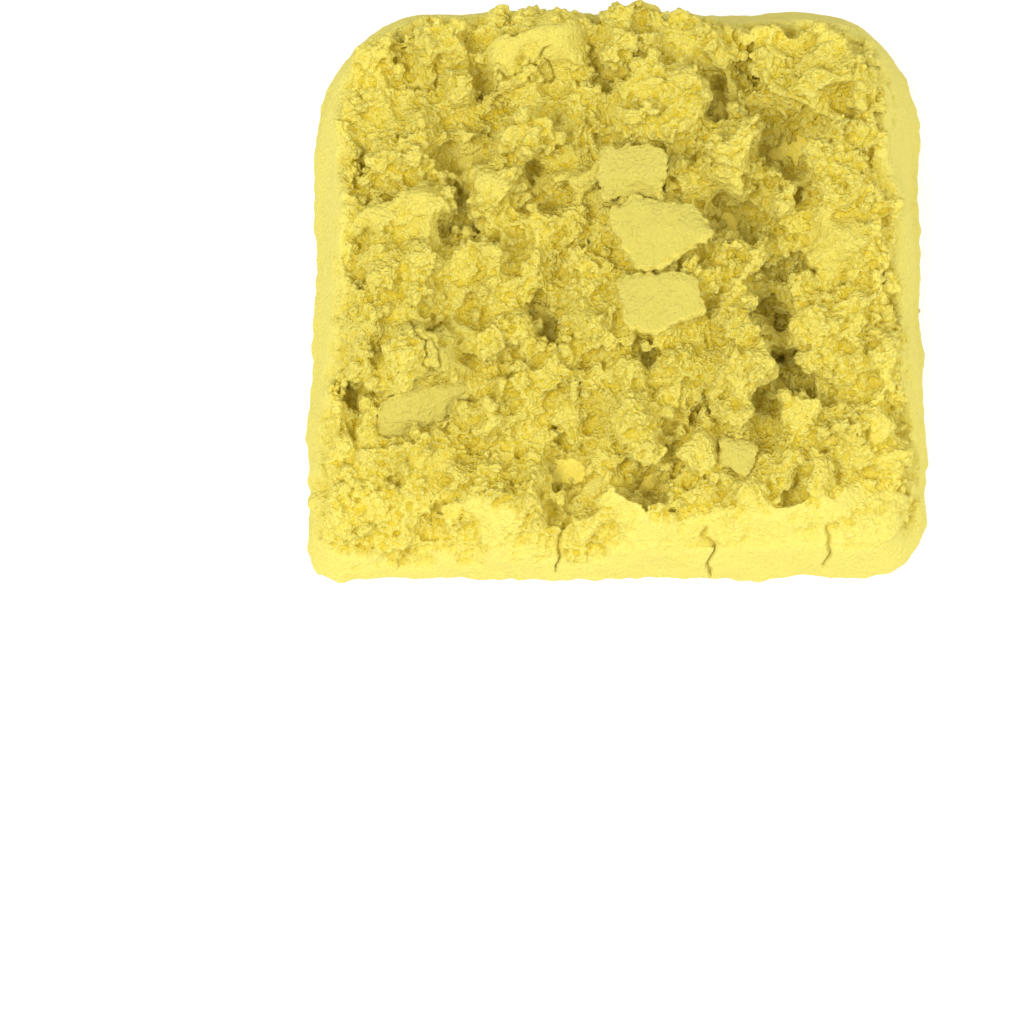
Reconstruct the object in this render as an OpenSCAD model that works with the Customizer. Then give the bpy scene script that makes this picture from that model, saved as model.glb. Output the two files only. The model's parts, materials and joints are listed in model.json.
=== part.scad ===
// Turned-out block of mouldable play sand: pressed side walls that have cracked
// into slabs, a compacted core, torn lumps seated on the core, and loose flakes
// lying on the lumps. Millimetres, +Z up, origin at the middle of the flat base.
// +Y is the back, where the block is tallest.

/* [Block] */
// Width of the base, left to right
block_w = 126; // [110:1:140]
// Depth of the base, front to back
block_d = 122; // [106:1:136]
// Height of the tallest lump
block_h = 36; // [30:1:42]

/* [Pressed walls] */
// How far the left and right walls lean in over the full height
side_lean = 12; // [8:1:16]
// How far the front wall leans in over the full height
front_lean = 13; // [9:1:17]
// How far the back wall leans in over the full height
back_lean = 16; // [12:1:19]
// Thickness of the pressed walls around the core at the base
wall_t = 8; // [6:1:10]

/* [Torn lumps] */
// Rounding of the edges of the seated lumps
lump_edge = 1.6; // [0.8:0.2:2.4]

/* [Loose flakes] */
// Half thickness of the loose flakes
flake_r = 0.9; // [0.7:0.1:1.2]
// Clearance all round each loose flake
loose_gap = 0.4; // [0.3:0.1:0.6]
// Travel that is kept clear above each loose flake
lift_clear = 34; // [30:1:40]

/* [Hidden] */
DRAWN = [126, 122, 36];
STRETCH = [block_w / DRAWN.x, block_d / DRAWN.y, block_h / DRAWN.z];
SKIN = 0.01;
$fn = 6;

// Base corners of the mould: front left, front right, back right, back left.
CORNERS = [[-1, -1, 6], [1, -1, 13], [1, 1, 25], [-1, 1, 26]];
TOP_CORNER_R = 13;
MOULD_TOP = 40;

// Core: plan and height of its top, which steps up from the front to the back.
CORE_TOPS = [
    [-54, -51, 8], [53, -51, 8], [-53, -30, 15], [52, -30, 15], [-51, -5, 20],
    [50, -5, 20], [-47, 34, 23.5], [45, 34, 23.5], [-36, 45, 23.5], [34, 45, 23.5]
];
// How far the back corners of the core's base are cut back.
CORE_CHAMFER = 11;

// Seated pieces in the order in which they keep their shape: a later piece is cut
// where an earlier one already is. Each row: name, height of its foot, and its
// top corners. A foot at 0 makes it a wall slab that stands on the base plane.
PIECES = [
    ["left_wall", 0, [[-66, -36, 17], [-55, -36, 19], [-66, 2, 27], [-54, 2, 29],
        [-66, 32, 25], [-54, 32, 27]]],
    ["front_left_corner", 0, [[-66, -64, 6], [-50, -64, 7], [-66, -34, 15],
        [-57, -34, 17], [-50, -47, 14]]],
    ["back_left_corner", 0, [[-66, 30, 23], [-66, 64, 22], [-44, 64, 24],
        [-40, 42, 28], [-53, 30, 27]]],
    ["back_wall", 0, [[-46, 64, 25], [22, 64, 25], [22, 44, 28], [-18, 45, 30],
        [-42, 42.5, 28]]],
    ["back_right_corner", 0, [[20, 64, 21], [66, 64, 25], [66, 34, 26], [51, 34, 30],
        [44, 41, 29.5], [20, 42, 24]]],
    ["right_wall_rear", 0, [[66, 36, 28], [50, 36, 31], [50, 16, 32], [66, 16, 27],
        [66, -2, 23], [51, -2, 27]]],
    ["right_wall_front", 0, [[66, 0, 22], [50, 0, 27.5], [51, -24, 22],
        [52, -42, 17], [66, -42, 13]]],
    ["front_right_corner", 0, [[66, -40, 13], [51, -40, 17.5], [44, -47, 17],
        [43, -64, 8], [66, -64, 6]]],
    ["front_right_slab", 0, [[24, -64, 8], [45, -64, 8], [46, -48, 17],
        [24, -48, 17]]],
    ["front_middle_slab", 0, [[10, -64, 8], [26, -64, 8], [26, -50, 16],
        [11, -52, 15]]],
    ["mesa_slab", 0, [[-9.5, -64, 5], [12, -64, 8], [13, -52, 15.5], [-1, -45, 19.5],
        [-9.5, -54, 9]]],
    ["front_left_slab", 0, [[-32, -64, 8], [-8, -64, 5], [-8, -54, 9],
        [-14, -49, 16], [-18, -46, 18], [-31, -47, 17]]],
    ["front_left_block", 0, [[-52, -64, 7], [-30, -64, 8], [-30, -47, 16],
        [-49, -45, 15]]],

    ["back_plate", 18, [[-28, 41, 31], [-20, 44, 32], [-14, 46, 33],
        [-8, 44.5, 33.5], [-9, 39.5, 31.5], [-14, 36, 30.5], [-20, 35.5, 30],
        [-25, 35.5, 30], [-22, 30, 25], [-12, 31, 26]]],
    ["back_mound", 18, [[-6, 42, 32], [-3, 47, 33.5], [4, 49.5, 36], [12, 49.5, 35],
        [19.5, 46, 32], [20, 42, 30.5], [8, 39.5, 33], [0, 39.5, 33]]],
    ["left_wedge", 9, [[-38, -17, 34], [-39.5, -23, 31], [-28, -20, 23],
        [-29, -25, 21], [-37, -27, 22], [-45, -15, 29], [-46, -25, 24]]],
    ["cone_lump", 16, [[20, 15, 34], [22, 18, 35], [27, 19, 33], [30, 25, 31],
        [24, 28, 31], [19, 25, 31], [18, 15, 30], [27, 11, 29]]],
    ["large_ridge", 11, [[20, -11, 28], [27, -12, 30], [29.5, -20, 29.5],
        [28, -28, 28], [24, -34, 24], [20, -30, 24], [20, -18, 27]]],
    ["ridge_mass", 16, [[0, 24, 31], [0, 35, 32], [6, 37, 34.5], [14, 36, 32],
        [17, 30, 31], [17, 22, 30], [10, 21.5, 31]]],
    ["right_mass", 16, [[37, 12, 30], [40, 19, 32], [45, 26, 34.5], [50, 22, 33.5],
        [51, 12, 31], [44, 9, 30]]],
    ["right_rear_mass", 17, [[32, 40, 28], [48, 41, 31], [51, 34, 33], [50, 28, 33.5],
        [38, 29, 31], [31, 33, 29]]],
    ["wedge_lump", 15, [[-24, 18, 29.5], [-20, 17, 29], [-19, 10, 27], [-24, 3, 25],
        [-28, 11, 26], [-27, 16, 27.5]]],
    ["flat_chunk", 14, [[-54, 4, 28.5], [-53, 12, 28.5], [-37, 13, 29.5],
        [-34.5, 10, 29.5], [-34.5, 4, 28.5], [-44, 2, 28]]],
    ["cave_lip", 26.5, [[-24, 24, 29], [-22, 28, 30.5], [-12, 27, 31.5], [-10, 21, 31],
        [-16, 20.5, 30], [-22, 20.5, 29.5]]],
    ["spike_block", 18, [[-37, 35, 30], [-34.5, 36.5, 32.5], [-31, 36, 31],
        [-31, 31.5, 28], [-36, 31.5, 28.5]]],
    ["back_left_crest", 18, [[-43, 40.5, 28], [-36, 43.5, 29.5], [-30, 43.5, 30],
        [-30, 40, 29.5], [-42, 39, 27.5]]],
    ["left_rear_mass", 17, [[-55, 25, 26.5], [-52, 34.5, 27], [-48, 39, 27],
        [-41, 36, 28], [-40, 24, 27.5], [-48, 19, 26.5]]],
    ["slab_step", 15, [[-54, 14, 28], [-50, 22, 28], [-38.5, 31, 29.5],
        [-36.5, 22, 28.5], [-37, 14, 27.5]]],
    ["bar_lump", 18, [[-34, 24.5, 27.5], [-34, 27, 27.5], [-24.5, 27, 28],
        [-23.5, 24, 27.5]]],
    ["back_centre_mass", 18, [[-23, 26, 28], [-22, 33, 29], [-8, 35, 31.5],
        [-1, 33, 31.5], [-2, 26, 30.5], [-12, 24.5, 29.5]]],
    ["under_lip_lumps", 16, [[-11, 18.5, 27], [-4.5, 19.5, 29.5], [-2.5, 17, 29.5],
        [-3, 10, 28], [-9, 10.5, 27], [-11.5, 14, 26.5]]],
    ["step_slab", 18, [[14, 38, 29.5], [14, 42, 30.5], [22, 41.5, 30], [22, 38, 28.5]]],
    ["crumb_ridge", 15, [[31, 15, 29], [37, 14, 30], [38.5, 3, 28], [34, 0.5, 28],
        [31, 5, 28]]],
    ["smooth_facet_lump", 14, [[40, 8, 29.5], [50, 8, 29.5], [51, -3, 26.5],
        [43, -4, 27], [39.5, 1, 28]]],
    ["rubble_lump", 16, [[10, 17, 31], [13.5, 17.5, 31], [16, 14, 29.5],
        [15, 9, 28.5], [10, 8, 28.5]]],
    ["leaf_bed", 15, [[-1, 4, 29], [2, 9, 30], [14, 7.5, 31], [14, 2, 30],
        [8, -4.5, 28.5], [2, -3, 28]]],
    ["round_crumb_lump", 14, [[19, 1, 29], [25, 2.5, 29.5], [28.5, -2, 28.5],
        [27, -9, 27.5], [20, -10, 27.5], [18.5, -5, 28.5]]],
    ["flake_bed", 14, [[1, -6, 28.5], [8, -5, 29], [16, -7, 29], [18, -13, 28],
        [9, -18, 26], [2, -14, 27]]],
    ["centre_mass", 13, [[-9, -6, 25], [1, -6, 26.5], [2, -17, 25.5], [-3, -20, 24],
        [-9, -17, 23.5]]],
    ["crack_lump", 15, [[-11, 9, 25.5], [-3, 9.5, 28], [-1, 4, 28.5], [-3, -4, 26.5],
        [-9, -3, 25.5], [-12, 3, 25]]],
    ["valley_lump", 14, [[-21, 7, 25], [-14, 8, 25.5], [-12.5, 0, 25.5],
        [-14, -6, 24.5], [-20, -4, 25]]],
    ["left_centre_mass", 14, [[-33, 2, 27.5], [-24, 2.5, 27], [-21, -3, 26.5],
        [-22, -10, 25.5], [-32, -8, 27]]],
    ["left_mass", 12, [[-55, 2, 28], [-40, 2.5, 28.5], [-34, -2, 27.5],
        [-36, -12, 28], [-46, -15, 29], [-46, -23, 24], [-56, -22, 23]]],
    ["centre_left_mass", 12, [[-33, -11, 26], [-18, -10.5, 25], [-18, -17, 24],
        [-28, -20, 24], [-33, -18, 26]]],
    ["right_middle_mass", 13, [[37, -7, 26.5], [50, -5, 26.5], [51, -23, 23.5],
        [40, -24, 24], [35, -17, 25]]],
    ["crater_spine", 11, [[8, -18.5, 25], [17, -18, 26], [13, -24, 25.5],
        [12.5, -30, 22], [8, -31, 21.5]]],
    ["right_front_mass", 9, [[31, -28, 21.5], [50, -26, 21.5], [50.5, -40, 18.5],
        [42, -47, 18], [31, -44, 18.5], [30, -35, 20]]],
    ["centre_front_mass", 9, [[-1, -20, 23], [7, -19, 24], [8.5, -30, 22],
        [8, -38, 19.5], [-1, -36, 19.5]]],
    ["lit_ridge", 10, [[-15, -20, 24], [-11, -20, 25.5], [-5, -26, 25],
        [-8, -31, 21.5], [-15, -28, 21.5]]],
    ["crumb_plain", 9, [[-30, -21, 22], [-17, -20, 22.5], [-13, -29, 20.5],
        [-14, -38, 17.5], [-29, -36, 18]]],
    ["front_left_mass", 7, [[-50, -24, 17.5], [-38, -27, 18], [-29, -31, 18],
        [-29, -44, 17.5], [-38, -47, 16], [-50, -46, 14.5]]],
    ["front_mound", 7, [[-30, -46, 17.5], [-29, -38, 18], [-17, -39, 19],
        [-15.5, -44, 18.5], [-18, -50, 17]]],
    ["slump_lumps", 7, [[11, -46, 16.5], [9, -37, 19], [19, -34, 20], [31, -35, 19.5],
        [31, -47, 17.5], [22, -48, 17]]]
];

// Loose flakes: each is a chain of ribs, and each rib is a row of points along it.
LEAF_RIBS = [
    [[0.5, 6.5, 31], [1.6, 2.7, 30.5], [4.7, -3, 29.5]],
    [[5, 7.5, 32.5], [8, 3, 33], [8, -3.5, 30.5]],
    [[14, 5.5, 33.5], [17, 1.5, 34.5], [13, -1, 32.5]]
];
SECOND_RIBS = [
    [[2.5, -7, 28.5], [4, -15, 27.5]],
    [[8, -6.5, 29.5], [8, -16.5, 27.5]],
    [[14.5, -7.5, 29.5], [16.5, -12.5, 28.5]]
];
CURLED_RIBS = [
    [[-2, 19, 34], [9, 18, 34.5]],
    [[-2, 14.5, 33.7], [8.8, 14, 34]],
    [[-1, 11.2, 30.5], [7.5, 11.2, 31]]
];
BAR_RIBS = [
    [[-46, -28.5, 17.5], [-47, -34, 13.5], [-45.5, -29.5, 14.5]],
    [[-40, -26, 19], [-41, -32.5, 14.5], [-39.5, -28, 15]],
    [[-31, -25.5, 19], [-31, -28, 16.5], [-31, -27, 16]]
];
CHIP_RIBS = [
    [[21.5, -41.5, 18.5], [22, -38, 20]],
    [[25.5, -43, 18.5], [26, -38.5, 19.5]]
];
LOOSE = [LEAF_RIBS, SECOND_RIBS, CURLED_RIBS, BAR_RIBS, CHIP_RIBS];

PRESSED = "khaki";
CRUMB = [0.90, 0.84, 0.42];
FLAKE = [0.93, 0.88, 0.52];
DEEP = [0.80, 0.72, 0.30];

function stretched(p) = [p.x * STRETCH.x, p.y * STRETCH.y, p.z * STRETCH.z];
function lows(points) = [for (axis = [0:1]) min([for (p = points) p[axis]])];
function highs(points) = [for (axis = [0:1]) max([for (p = points) p[axis]])];

// True when two pieces' plans come near enough to meet.
function beside(a, b) =
    let (reach = 2 * lump_edge, la = lows(a), ha = highs(a), lb = lows(b), hb = highs(b))
    la.x < hb.x + reach && lb.x < ha.x + reach && la.y < hb.y + reach && lb.y < ha.y + reach;

// The inside of the mould: a rounded rectangle whose walls lean in.
module mould() {
    hull() {
        for (corner = CORNERS) {
            r = corner.z;
            translate([
                corner.x * (block_w / 2 - r),
                corner.y * (block_d / 2 - r),
                0
            ])
                cylinder(h = SKIN, r = r, $fn = 32);
            lean = corner.y < 0 ? front_lean : back_lean;
            translate([
                corner.x * (block_w / 2 - side_lean - TOP_CORNER_R),
                corner.y * (block_d / 2 - lean - TOP_CORNER_R),
                MOULD_TOP * STRETCH.z
            ])
                cylinder(h = SKIN, r = TOP_CORNER_R, $fn = 32);
        }
    }
}

// The convex shape of the core before the loose flakes' room is cut from it.
module core_form() {
    hull() {
        for (p = CORE_TOPS) {
            translate(stretched([p.x, p.y, p.z - 1])) cylinder(h = 1, r = 1);
        }
        for (side = [-1, 1], cut = [[0, -1, 0], [CORE_CHAMFER, 1, 0], [0, 1, CORE_CHAMFER]]) {
            translate([
                side * (block_w / 2 - wall_t - cut[0]),
                cut[1] * (block_d / 2 - wall_t - cut[2]),
                0
            ])
                cylinder(h = 1, r = 1);
        }
    }
}

// One wall slab or lump before it is cut to fit its neighbours.
module lump(piece) {
    foot = piece[1];
    edge = foot == 0 ? SKIN * 10 : lump_edge;
    hull() {
        for (p = piece[2]) {
            translate(stretched(p) - [0, 0, edge]) sphere(edge);
            translate([p.x * STRETCH.x, p.y * STRETCH.y, foot * STRETCH.z])
                cylinder(h = edge, r = edge);
        }
    }
}

// A loose flake, grown by a margin and drawn out upwards by a rise.
module ribbed(ribs, grow = 0, rise = 0) {
    for (i = [1:len(ribs) - 1]) {
        hull() {
            for (p = concat(ribs[i - 1], ribs[i]), up = [0, rise]) {
                translate(stretched(p) + [0, 0, up]) sphere(flake_r + grow, $fn = 8);
            }
        }
    }
}

// The room that the loose flakes need, from where they lie to where they lift.
module lifting_room() {
    for (ribs = LOOSE) ribbed(ribs, loose_gap, lift_clear);
}

// A named piece, cut to fit the core, its earlier neighbours and the flakes' room.
// Wall slabs are also cut to the inside of the mould that pressed them.
module seated(name) {
    rank = search([name], PIECES)[0];
    piece = PIECES[rank];
    difference() {
        if (piece[1] == 0) {
            intersection() {
                lump(piece);
                mould();
            }
        } else {
            lump(piece);
        }
        core_form();
        for (i = [0:1:rank - 1]) {
            if (beside(PIECES[i][2], piece[2])) lump(PIECES[i]);
        }
        lifting_room();
    }
}

module compacted_core() {
    color(DEEP)
        difference() {
            intersection() {
                core_form();
                mould();
            }
            lifting_room();
        }
}

module leaf_flake() { color(FLAKE) ribbed(LEAF_RIBS); }
module second_flake() { color(FLAKE) ribbed(SECOND_RIBS); }
module curled_plate() { color(FLAKE) ribbed(CURLED_RIBS); }
module bar_chip() { color(FLAKE) ribbed(BAR_RIBS); }
module slab_chip() { color(FLAKE) ribbed(CHIP_RIBS); }

module left_wall() { color(PRESSED) seated("left_wall"); }
module front_left_corner() { color(PRESSED) seated("front_left_corner"); }
module back_left_corner() { color(PRESSED) seated("back_left_corner"); }
module back_wall() { color(PRESSED) seated("back_wall"); }
module back_right_corner() { color(PRESSED) seated("back_right_corner"); }
module right_wall_rear() { color(PRESSED) seated("right_wall_rear"); }
module right_wall_front() { color(PRESSED) seated("right_wall_front"); }
module front_right_corner() { color(PRESSED) seated("front_right_corner"); }
module front_right_slab() { color(PRESSED) seated("front_right_slab"); }
module front_middle_slab() { color(PRESSED) seated("front_middle_slab"); }
module mesa_slab() { color(PRESSED) seated("mesa_slab"); }
module front_left_slab() { color(PRESSED) seated("front_left_slab"); }
module front_left_block() { color(PRESSED) seated("front_left_block"); }
module back_plate() { color(FLAKE) seated("back_plate"); }
module back_mound() { color(CRUMB) seated("back_mound"); }
module left_wedge() { color(FLAKE) seated("left_wedge"); }
module cone_lump() { color(FLAKE) seated("cone_lump"); }
module large_ridge() { color(CRUMB) seated("large_ridge"); }
module ridge_mass() { color(CRUMB) seated("ridge_mass"); }
module right_mass() { color(CRUMB) seated("right_mass"); }
module right_rear_mass() { color(CRUMB) seated("right_rear_mass"); }
module wedge_lump() { color(FLAKE) seated("wedge_lump"); }
module flat_chunk() { color(FLAKE) seated("flat_chunk"); }
module cave_lip() { color(CRUMB) seated("cave_lip"); }
module spike_block() { color(CRUMB) seated("spike_block"); }
module back_left_crest() { color(CRUMB) seated("back_left_crest"); }
module left_rear_mass() { color(CRUMB) seated("left_rear_mass"); }
module slab_step() { color(CRUMB) seated("slab_step"); }
module bar_lump() { color(FLAKE) seated("bar_lump"); }
module back_centre_mass() { color(CRUMB) seated("back_centre_mass"); }
module under_lip_lumps() { color(CRUMB) seated("under_lip_lumps"); }
module step_slab() { color(CRUMB) seated("step_slab"); }
module crumb_ridge() { color(CRUMB) seated("crumb_ridge"); }
module smooth_facet_lump() { color(FLAKE) seated("smooth_facet_lump"); }
module rubble_lump() { color(CRUMB) seated("rubble_lump"); }
module leaf_bed() { color(CRUMB) seated("leaf_bed"); }
module round_crumb_lump() { color(CRUMB) seated("round_crumb_lump"); }
module flake_bed() { color(CRUMB) seated("flake_bed"); }
module centre_mass() { color(CRUMB) seated("centre_mass"); }
module crack_lump() { color(CRUMB) seated("crack_lump"); }
module valley_lump() { color(CRUMB) seated("valley_lump"); }
module left_centre_mass() { color(CRUMB) seated("left_centre_mass"); }
module left_mass() { color(CRUMB) seated("left_mass"); }
module centre_left_mass() { color(CRUMB) seated("centre_left_mass"); }
module right_middle_mass() { color(CRUMB) seated("right_middle_mass"); }
module crater_spine() { color(CRUMB) seated("crater_spine"); }
module right_front_mass() { color(CRUMB) seated("right_front_mass"); }
module centre_front_mass() { color(CRUMB) seated("centre_front_mass"); }
module lit_ridge() { color(CRUMB) seated("lit_ridge"); }
module crumb_plain() { color(CRUMB) seated("crumb_plain"); }
module front_left_mass() { color(CRUMB) seated("front_left_mass"); }
module front_mound() { color(CRUMB) seated("front_mound"); }
module slump_lumps() { color(CRUMB) seated("slump_lumps"); }

compacted_core();
leaf_flake();
second_flake();
curled_plate();
bar_chip();
slab_chip();
left_wall();
front_left_corner();
back_left_corner();
back_wall();
back_right_corner();
right_wall_rear();
right_wall_front();
front_right_corner();
front_right_slab();
front_middle_slab();
mesa_slab();
front_left_slab();
front_left_block();
back_plate();
back_mound();
left_wedge();
cone_lump();
large_ridge();
ridge_mass();
right_mass();
right_rear_mass();
wedge_lump();
flat_chunk();
cave_lip();
spike_block();
back_left_crest();
left_rear_mass();
slab_step();
bar_lump();
back_centre_mass();
under_lip_lumps();
step_slab();
crumb_ridge();
smooth_facet_lump();
rubble_lump();
leaf_bed();
round_crumb_lump();
flake_bed();
centre_mass();
crack_lump();
valley_lump();
left_centre_mass();
left_mass();
centre_left_mass();
right_middle_mass();
crater_spine();
right_front_mass();
centre_front_mass();
lit_ridge();
crumb_plain();
front_left_mass();
front_mound();
slump_lumps();
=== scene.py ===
"""A turned-out block of mouldable play sand: pressed walls, torn crumbly top, loose flakes.

Every piece starts from its CAD node's own mesh. The mesh is rebuilt at an even fineness,
bent by one smooth field that all the pieces share, so that seams turn irregular but still
meet, and then broken up into clumps, crumbs and pits, except where the mould pressed it.
"""

import json
import math

import bmesh
import bpy
import numpy as np
from mathutils import Matrix, Vector, noise
from mathutils.bvhtree import BVHTree
from mathutils.kdtree import KDTree


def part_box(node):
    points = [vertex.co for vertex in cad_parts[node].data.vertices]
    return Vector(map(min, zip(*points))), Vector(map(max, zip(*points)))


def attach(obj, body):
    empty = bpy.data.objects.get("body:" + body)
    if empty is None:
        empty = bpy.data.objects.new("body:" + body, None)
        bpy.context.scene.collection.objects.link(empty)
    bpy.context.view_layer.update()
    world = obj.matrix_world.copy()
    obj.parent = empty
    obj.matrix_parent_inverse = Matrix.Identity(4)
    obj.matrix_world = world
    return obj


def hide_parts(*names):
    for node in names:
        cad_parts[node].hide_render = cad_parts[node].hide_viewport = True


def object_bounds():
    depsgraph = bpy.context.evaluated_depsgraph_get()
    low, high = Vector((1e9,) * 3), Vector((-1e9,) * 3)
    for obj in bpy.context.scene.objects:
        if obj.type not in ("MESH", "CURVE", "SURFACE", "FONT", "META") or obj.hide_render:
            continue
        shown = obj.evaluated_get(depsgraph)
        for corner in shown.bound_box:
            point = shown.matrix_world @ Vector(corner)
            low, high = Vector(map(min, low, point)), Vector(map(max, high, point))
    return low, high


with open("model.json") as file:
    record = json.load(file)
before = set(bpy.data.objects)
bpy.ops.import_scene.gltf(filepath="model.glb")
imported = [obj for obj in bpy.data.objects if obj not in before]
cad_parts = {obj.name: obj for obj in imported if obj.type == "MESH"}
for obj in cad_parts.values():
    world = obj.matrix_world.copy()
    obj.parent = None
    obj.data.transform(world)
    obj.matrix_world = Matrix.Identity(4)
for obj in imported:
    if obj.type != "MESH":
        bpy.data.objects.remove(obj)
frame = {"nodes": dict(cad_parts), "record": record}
CAD_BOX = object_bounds()

MM = 0.001
COARSE = 0.8 * MM
FINE = 0.32 * MM
CORE = "compacted_core"

# ---------------------------------------------------------------- the mould's inside
LOW, HIGH = (Vector(corner) for corner in CAD_BOX)
HALF_W = (HIGH.x - LOW.x) / 2
HALF_D = (HIGH.y - LOW.y) / 2
MOULD_TOP = 40 * MM
SIDE_LEAN = 12 * MM
FRONT_LEAN = 13 * MM
BACK_LEAN = 16 * MM
TOP_RADIUS = 13 * MM
BASE_RADII = {(-1, -1): 6 * MM, (1, -1): 13 * MM, (1, 1): 25 * MM, (-1, 1): 26 * MM}


def mould_gap(points):
    """How far each point is outside the mould's inner face, measured level; inside is negative."""
    share = np.clip(points[:, 2] / MOULD_TOP, 0, 1)
    side_x = np.where(points[:, 0] < 0, -1, 1)
    side_y = np.where(points[:, 1] < 0, -1, 1)
    base_r = np.zeros(len(points))
    for (sx, sy), radius in BASE_RADII.items():
        base_r[(side_x == sx) & (side_y == sy)] = radius
    radius = base_r + (TOP_RADIUS - base_r) * share
    lean = np.where(side_y < 0, FRONT_LEAN, BACK_LEAN)
    reach_x = HALF_W - SIDE_LEAN * share - radius
    reach_y = HALF_D - lean * share - radius
    over_x = np.abs(points[:, 0]) - reach_x
    over_y = np.abs(points[:, 1]) - reach_y
    corner = np.hypot(np.maximum(over_x, 0), np.maximum(over_y, 0))
    return corner + np.minimum(np.maximum(over_x, over_y), 0) - radius


def ease(value, low, high):
    """0 below low, 1 above high, and smooth between."""
    t = np.clip((value - low) / (high - low), 0, 1)
    return t * t * (3 - 2 * t)


# ---------------------------------------------------------------- meshes and arrays
def coords(mesh):
    co = np.empty(len(mesh.vertices) * 3, np.float32)
    mesh.vertices.foreach_get("co", co)
    return co.reshape(-1, 3).astype(float)


def normals(mesh):
    no = np.empty(len(mesh.vertices) * 3, np.float32)
    mesh.vertices.foreach_get("normal", no)
    return no.reshape(-1, 3).astype(float)


def set_coords(mesh, points):
    mesh.vertices.foreach_set("co", points.astype(np.float32).ravel())
    mesh.update()


def set_attribute(mesh, name, values):
    attribute = mesh.attributes.get(name) or mesh.attributes.new(name, "FLOAT", "POINT")
    attribute.data.foreach_set("value", values.astype(np.float32))


def bake_modifiers(obj):
    """Replaces obj's mesh by what its modifiers make of it."""
    bpy.context.view_layer.update()
    graph = bpy.context.evaluated_depsgraph_get()
    made = bpy.data.meshes.new_from_object(obj.evaluated_get(graph))
    obj.modifiers.clear()
    obj.data = made


def remesh(obj, voxel, smooth_rounds=0):
    step = obj.modifiers.new("Remesh", "REMESH")
    step.mode = "VOXEL"
    step.voxel_size = voxel
    bake_modifiers(obj)
    if smooth_rounds:
        soften(obj, smooth_rounds)


# ---------------------------------------------------------------- node trees by formula
class Value:
    """A node socket that arithmetic can be done on."""

    def __init__(self, tree, socket):
        self.tree = tree
        self.socket = socket

    def _math(self, kind, *others):
        node = self.tree.nodes.new("ShaderNodeMath")
        node.operation = kind
        for place_number, item in enumerate((self,) + others):
            feed(self.tree, item, node.inputs[place_number])
        return Value(self.tree, node.outputs[0])

    def __add__(self, other):
        return self._math("ADD", other)

    def __sub__(self, other):
        return self._math("SUBTRACT", other)

    def __mul__(self, other):
        return self._math("MULTIPLY", other)

    def ramp(self, low, high, out_low=0.0, out_high=1.0):
        """Smooth step from out_low at low to out_high at high."""
        node = self.tree.nodes.new("ShaderNodeMapRange")
        node.interpolation_type = "SMOOTHSTEP"
        for socket_name, item in (("Value", self), ("From Min", low), ("From Max", high),
                                  ("To Min", out_low), ("To Max", out_high)):
            feed(self.tree, item, node.inputs[socket_name])
        return Value(self.tree, node.outputs[0])


def feed(tree, item, socket):
    if isinstance(item, Value):
        tree.links.new(item.socket, socket)
    else:
        socket.default_value = item


def noise_at(tree, place, size, detail=2.0, rough=0.5):
    """Noise whose features are about size across; returns (value, vector)."""
    node = tree.nodes.new("ShaderNodeTexNoise")
    feed(tree, vector_math(tree, "SCALE", place, 1 / size), node.inputs["Vector"])
    node.inputs["Scale"].default_value = 1
    node.inputs["Detail"].default_value = detail
    node.inputs["Roughness"].default_value = rough
    return Value(tree, node.outputs[0]), Value(tree, node.outputs[1])


def cells_at(tree, place, size, feature="F1"):
    """Cells about size across; returns (distance in cells, cell colour)."""
    node = tree.nodes.new("ShaderNodeTexVoronoi")
    node.feature = feature
    feed(tree, vector_math(tree, "SCALE", place, 1 / size), node.inputs["Vector"])
    node.inputs["Scale"].default_value = 1
    if feature == "SMOOTH_F1":
        node.inputs["Smoothness"].default_value = 0.25
    colour = None if feature == "DISTANCE_TO_EDGE" else Value(tree, node.outputs["Color"])
    return Value(tree, node.outputs["Distance"]), colour


def vector_math(tree, kind, a, b):
    node = tree.nodes.new("ShaderNodeVectorMath")
    node.operation = kind
    feed(tree, a, node.inputs[0])
    feed(tree, b, node.inputs["Scale"] if kind == "SCALE" else node.inputs[1])
    return Value(tree, node.outputs["Value"] if kind == "DOT_PRODUCT" else node.outputs[0])


def warped(tree, place, size, reach):
    """The place, stirred by noise, so that cells and cracks lose their regular look."""
    _, stir = noise_at(tree, place, size)
    centred = vector_math(tree, "SUBTRACT", stir, (0.5, 0.5, 0.5))
    return vector_math(tree, "ADD", place, vector_math(tree, "SCALE", centred, reach * 2))


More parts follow.
